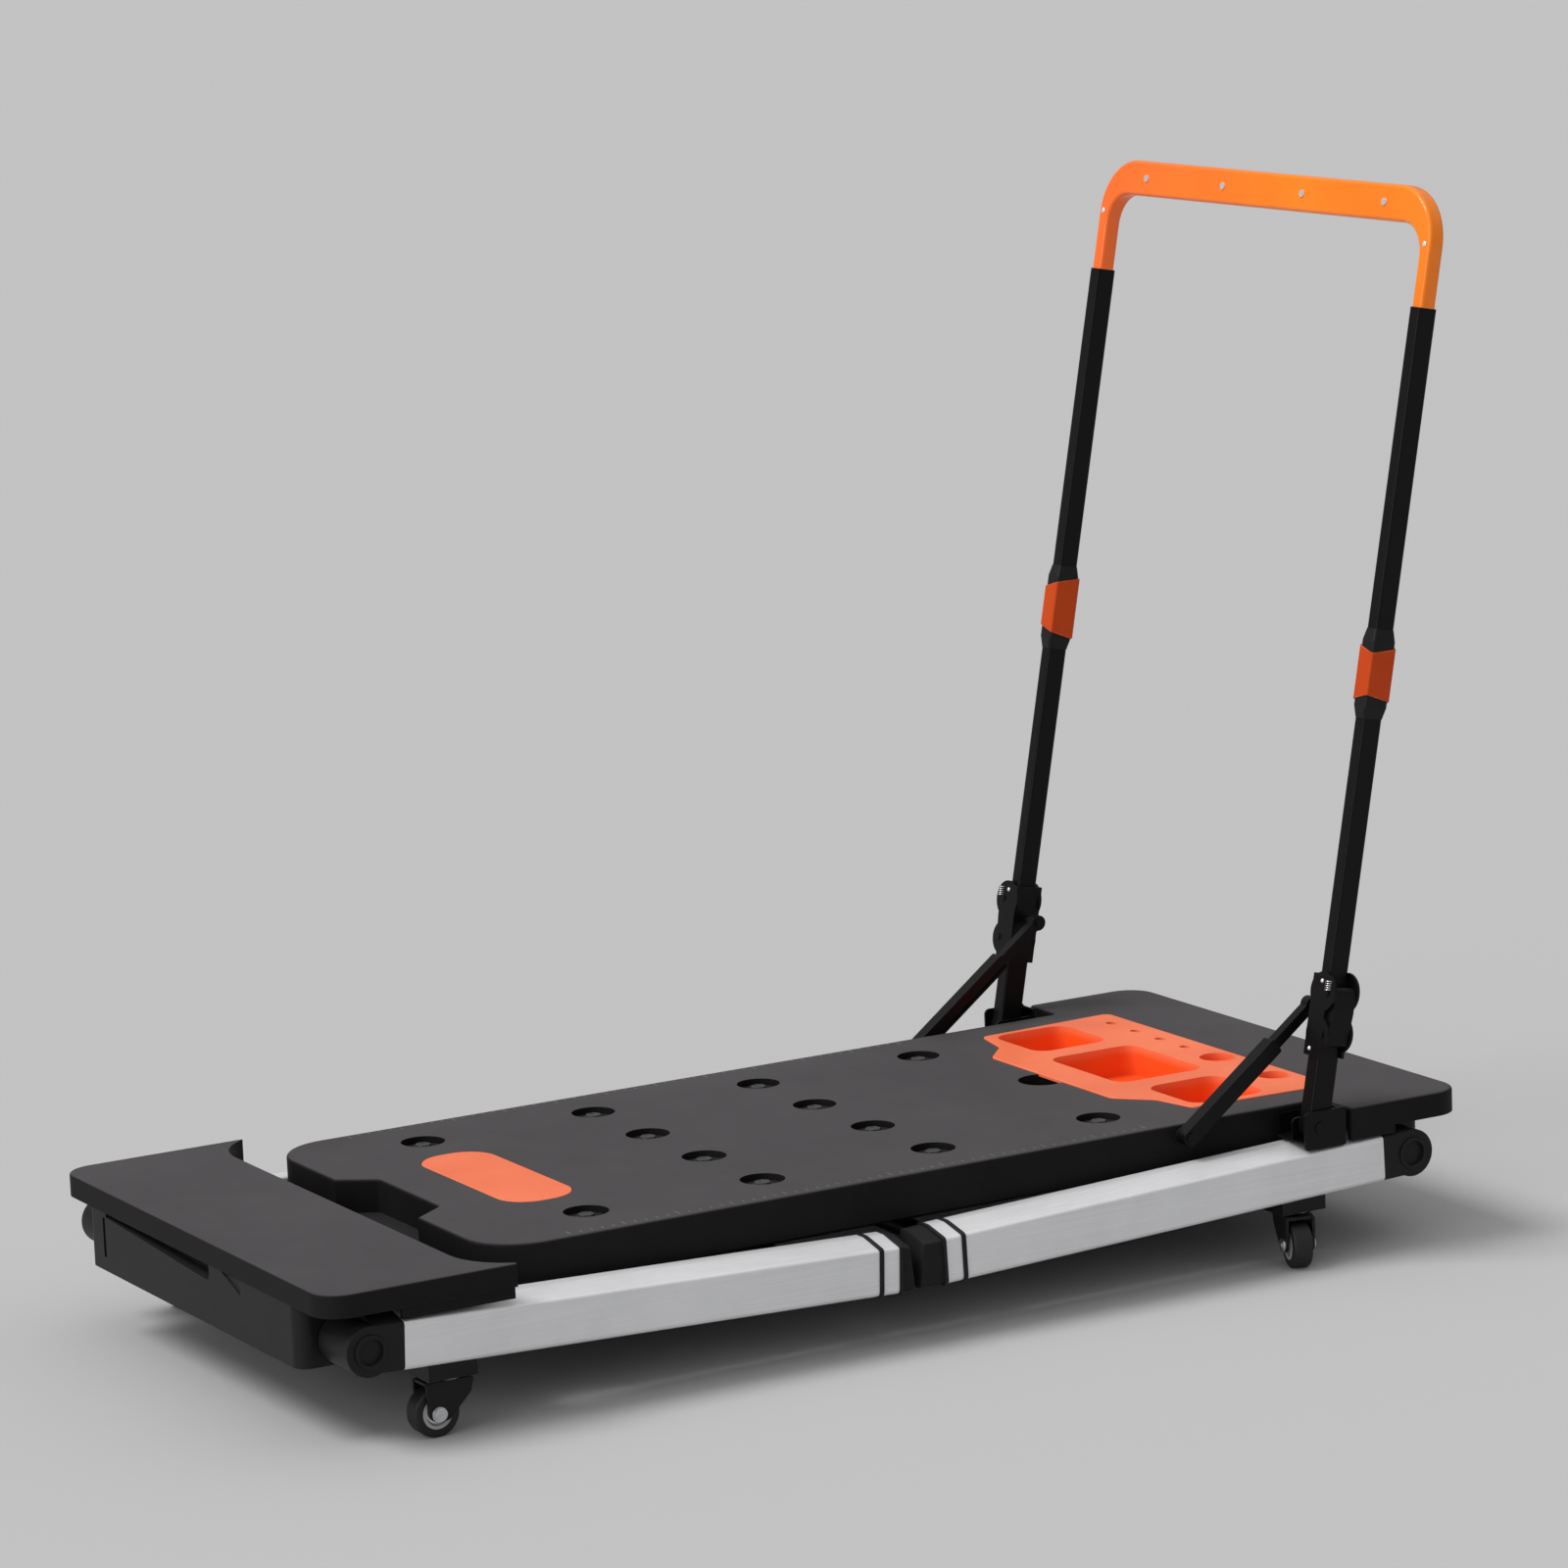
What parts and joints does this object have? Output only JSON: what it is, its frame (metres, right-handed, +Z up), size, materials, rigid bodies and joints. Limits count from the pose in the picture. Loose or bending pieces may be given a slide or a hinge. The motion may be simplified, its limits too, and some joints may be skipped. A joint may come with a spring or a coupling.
{
  "type": "folding platform cart",
  "caption": "Low platform cart with a folding push handle, swivelling casters and two fold-out leg frames that turn it into a work bench or step.",
  "frame": {"origin": "on the floor, midway along the cart's overall length and on its centre line", "axes": "+Z up, +X along the deck towards the handle, +Y to the cart's left"},
  "size_m": [1.0938, 0.5344, 0.9056],
  "materials": {
    "black_moulding": "fine-textured charcoal moulding",
    "housing_black": "satin black moulding",
    "orange_moulding": "satin orange moulding",
    "orange_gloss": "glossy orange paint",
    "rail_aluminium": "satin anodised",
    "black_steel": "semi-gloss black powder coat",
    "zinc_steel": "bright zinc plate",
    "rubber_black": "matt rubber",
    "caster_tyre": "smooth tread",
    "caster_hub": "light grey moulding"
  },
  "bodies": {
    "deck": {"deck_panel": "black_moulding", "deck_bolts": "zinc_steel", "pad_insert": "orange_moulding", "front_plate": "black_moulding", "front_housing": "housing_black", "rear_housing": "housing_black", "leg_pivot_pins": "zinc_steel", "subframe": "black_steel", "base_brackets": "black_steel", "handle_pivot_pins": "zinc_steel"},
    "tray": {"tool_tray": "orange_moulding"},
    "handle": {"lower_post_left": "black_steel", "lower_post_right": "black_steel", "upper_post_left": "black_steel", "upper_post_right": "black_steel", "latch_plates": "black_steel", "couplers": "housing_black", "coupler_bands": "orange_moulding", "grip": "orange_gloss", "grip_rivets": "zinc_steel"},
    "brace_left": {"brace_left": "black_steel"},
    "lever_left": {"lock_lever_left": "black_steel"},
    "brace_right": {"brace_right": "black_steel"},
    "lever_right": {"lock_lever_right": "black_steel"},
    "legs_front": {"leg_knuckles_front": "housing_black", "leg_collars_front": "housing_black", "leg_sleeves_front": "rail_aluminium", "leg_feet_front": "rubber_black", "leg_cross_tube_front": "black_steel", "caster_mounts_front": "black_steel", "rail_front_left": "rail_aluminium", "rail_front_right": "rail_aluminium"},
    "button_front_left": {"leg_button_front_left": "housing_black"},
    "caster_front_left": {"caster_fork_front_left": "black_steel", "caster_axle_front_left": "zinc_steel"},
    "wheel_front_left": {"caster_tyre_front_left": "caster_tyre", "caster_hub_front_left": "caster_hub"},
    "button_front_right": {"leg_button_front_right": "housing_black"},
    "caster_front_right": {"caster_fork_front_right": "black_steel", "caster_axle_front_right": "zinc_steel"},
    "wheel_front_right": {"caster_tyre_front_right": "caster_tyre", "caster_hub_front_right": "caster_hub"},
    "legs_rear": {"leg_knuckles_rear": "housing_black", "leg_collars_rear": "housing_black", "leg_sleeves_rear": "rail_aluminium", "leg_feet_rear": "rubber_black", "leg_cross_tube_rear": "black_steel", "caster_mounts_rear": "black_steel", "rail_rear_left": "rail_aluminium", "rail_rear_right": "rail_aluminium"},
    "button_rear_left": {"leg_button_rear_left": "housing_black"},
    "caster_rear_left": {"caster_fork_rear_left": "black_steel", "caster_axle_rear_left": "zinc_steel"},
    "wheel_rear_left": {"caster_tyre_rear_left": "caster_tyre", "caster_hub_rear_left": "caster_hub"},
    "button_rear_right": {"leg_button_rear_right": "housing_black"},
    "caster_rear_right": {"caster_fork_rear_right": "black_steel", "caster_axle_rear_right": "zinc_steel"},
    "wheel_rear_right": {"caster_tyre_rear_right": "caster_tyre", "caster_hub_rear_right": "caster_hub"}
  },
  "joints": [
    {"name": "handle_fold", "type": "hinge", "parent": "deck", "child": "handle", "pos_m": [0.39055, 0, 0.12], "axis": [0, 1, 0], "range_deg": [-100.76, 0]},
    {"name": "tray_lift", "type": "slide", "parent": "deck", "child": "tray", "axis": [0, 0, 1], "range_m": [0, 0.06]},
    {"name": "brace_left_swing", "type": "hinge", "parent": "handle", "child": "brace_left", "pos_m": [0.40922, 0.2169, 0.21824], "axis": [0, 1, 0], "range_deg": [0, 138.29]},
    {"name": "lever_left_pull", "type": "hinge", "parent": "handle", "child": "lever_left", "pos_m": [0.41221, 0.26, 0.23396], "axis": [0.9824, 0, -0.1867], "range_deg": [0, 12], "stiffness_Nm_per_rad": 0.4},
    {"name": "brace_right_swing", "type": "hinge", "parent": "handle", "child": "brace_right", "pos_m": [0.40922, -0.2169, 0.21824], "axis": [0, 1, 0], "range_deg": [0, 138.29]},
    {"name": "lever_right_pull", "type": "hinge", "parent": "handle", "child": "lever_right", "pos_m": [0.41221, -0.26, 0.23396], "axis": [-0.9824, 0, 0.1867], "range_deg": [0, 12], "stiffness_Nm_per_rad": 0.4},
    {"name": "legs_front_fold", "type": "hinge", "parent": "deck", "child": "legs_front", "pos_m": [-0.50945, 0, 0.083], "axis": [0, 1, 0], "range_deg": [0, 96]},
    {"name": "button_front_left_press", "type": "slide", "parent": "legs_front", "child": "button_front_left", "axis": [0, -1, 0], "range_m": [0, 0.003], "stiffness_N_per_m": 700},
    {"name": "swivel_front_left", "type": "hinge", "parent": "legs_front", "child": "caster_front_left", "pos_m": [-0.43744, 0.23575, 0.046], "axis": [0, 0, 1], "continuous": true},
    {"name": "roll_front_left", "type": "hinge", "parent": "caster_front_left", "child": "wheel_front_left", "pos_m": [-0.44844, 0.23575, 0.02], "axis": [0, 1, 0], "continuous": true},
    {"name": "button_front_right_press", "type": "slide", "parent": "legs_front", "child": "button_front_right", "axis": [0, 1, 0], "range_m": [0, 0.003], "stiffness_N_per_m": 700},
    {"name": "swivel_front_right", "type": "hinge", "parent": "legs_front", "child": "caster_front_right", "pos_m": [-0.43744, -0.23575, 0.046], "axis": [0, 0, 1], "continuous": true},
    {"name": "roll_front_right", "type": "hinge", "parent": "caster_front_right", "child": "wheel_front_right", "pos_m": [-0.44844, -0.23575, 0.02], "axis": [0, 1, 0], "continuous": true},
    {"name": "legs_rear_fold", "type": "hinge", "parent": "deck", "child": "legs_rear", "pos_m": [0.48556, 0, 0.083], "axis": [0, 1, 0], "range_deg": [-96, 0]},
    {"name": "button_rear_left_press", "type": "slide", "parent": "legs_rear", "child": "button_rear_left", "axis": [0, -1, 0], "range_m": [0, 0.003], "stiffness_N_per_m": 700},
    {"name": "swivel_rear_left", "type": "hinge", "parent": "legs_rear", "child": "caster_rear_left", "pos_m": [0.37356, 0.23575, 0.046], "axis": [0, 0, 1], "continuous": true},
    {"name": "roll_rear_left", "type": "hinge", "parent": "caster_rear_left", "child": "wheel_rear_left", "pos_m": [0.37016, 0.24621, 0.02], "axis": [0.9511, 0.309, 0], "continuous": true},
    {"name": "button_rear_right_press", "type": "slide", "parent": "legs_rear", "child": "button_rear_right", "axis": [0, 1, 0], "range_m": [0, 0.003], "stiffness_N_per_m": 700},
    {"name": "swivel_rear_right", "type": "hinge", "parent": "legs_rear", "child": "caster_rear_right", "pos_m": [0.37356, -0.23575, 0.046], "axis": [0, 0, 1], "continuous": true},
    {"name": "roll_rear_right", "type": "hinge", "parent": "caster_rear_right", "child": "wheel_rear_right", "pos_m": [0.37016, -0.24621, 0.02], "axis": [-0.9511, 0.309, 0], "continuous": true}
  ],
  "couplings": [
    {"joint": "brace_left_swing", "follows": "handle_fold", "ratio": -1.3723},
    {"joint": "brace_right_swing", "follows": "handle_fold", "ratio": -1.3723}
  ]
}
